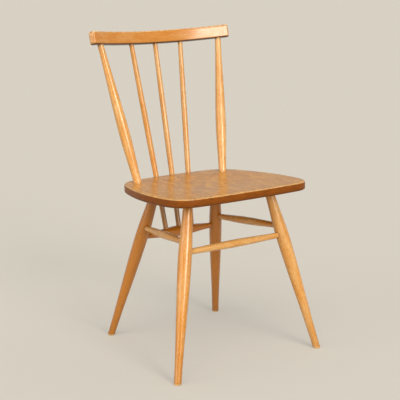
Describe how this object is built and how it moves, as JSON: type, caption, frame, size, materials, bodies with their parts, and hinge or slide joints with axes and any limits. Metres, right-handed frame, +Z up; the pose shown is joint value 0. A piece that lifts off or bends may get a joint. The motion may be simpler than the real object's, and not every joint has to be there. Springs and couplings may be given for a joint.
{
  "type": "spindle-back dining chair",
  "caption": "Wooden dining chair with a solid shaped seat, splayed turned legs tied by stretchers, a spindle back and a bent crest rail.",
  "frame": {"origin": "on the floor, at the middle of the chair's bounding box seen from above", "axes": "+Z up, -Y the way the sitter faces, +X towards the sitter's left hand; the chair is a mirror image across the plane X = 0, and left and right in the node names are those of someone who looks at its front, left at -X"},
  "size_m": [0.456, 0.4562, 0.815],
  "materials": {
    "turned_beech": "aged honey lacquer on turned beech, satin, lightly worn",
    "bent_beech": "aged honey lacquer on bent beech, satin, worn at its edges",
    "seat_elm": "aged waxed elm, satin gloss, worn pale along its upper edge",
    "wedge_beech": "darkened end grain, satin"
  },
  "bodies": {
    "root": {"seat": "seat_elm", "leg_front_left": "turned_beech", "leg_front_right": "turned_beech", "leg_rear_left": "turned_beech", "leg_rear_right": "turned_beech", "leg_wedge_front_left": "wedge_beech", "leg_wedge_front_right": "wedge_beech", "leg_wedge_rear_left": "wedge_beech", "leg_wedge_rear_right": "wedge_beech", "stretcher_front": "turned_beech", "stretcher_rear": "turned_beech", "stretcher_left": "turned_beech", "stretcher_right": "turned_beech", "post_left": "turned_beech", "post_right": "turned_beech", "spindle_left": "turned_beech", "spindle_centre": "turned_beech", "spindle_right": "turned_beech", "crest_rail": "bent_beech"}
  },
  "joints": []
}
